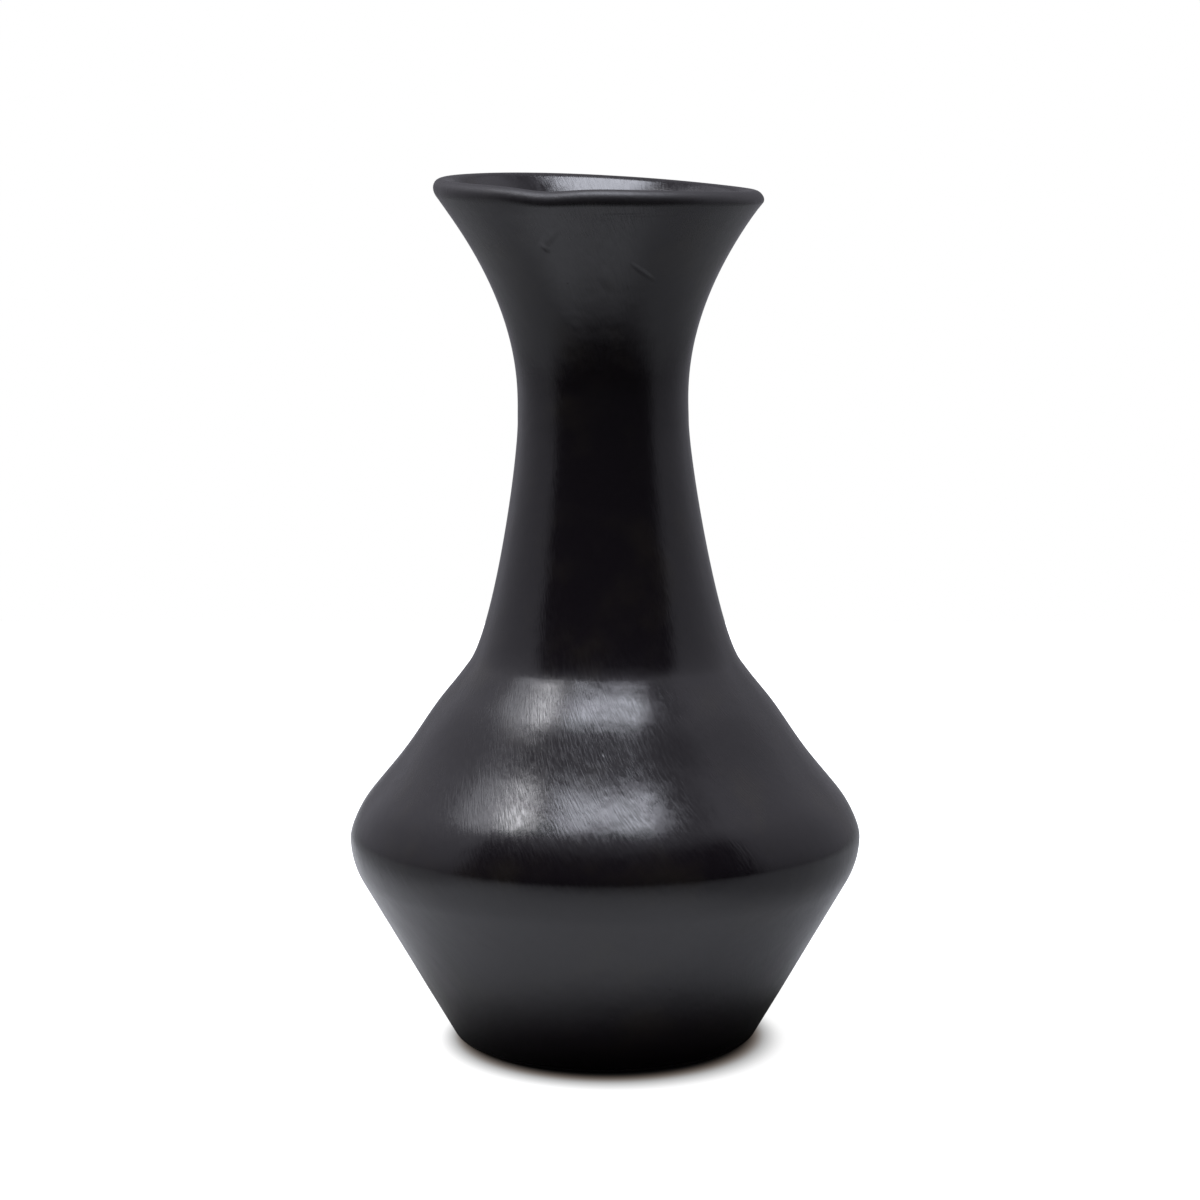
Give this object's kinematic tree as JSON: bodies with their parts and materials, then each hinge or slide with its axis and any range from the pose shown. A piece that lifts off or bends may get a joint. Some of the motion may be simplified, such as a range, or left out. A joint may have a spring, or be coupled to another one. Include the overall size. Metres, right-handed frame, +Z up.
{
  "type": "flared vase",
  "caption": "Hollow clay vase with a narrow foot, a wide low belly, a sloping shoulder, a slim neck and a flared mouth with a rounded lip, for holding stems upright.",
  "frame": {"origin": "centre of the foot, on the surface that the vase stands on", "axes": "+Z up through the mouth, -Y the pictured front, +X its right"},
  "size_m": [0.15, 0.15, 0.2521],
  "materials": {
    "burnished_clay": "burnished black"
  },
  "bodies": {
    "root": {"vase_body": "burnished_clay"}
  },
  "joints": []
}
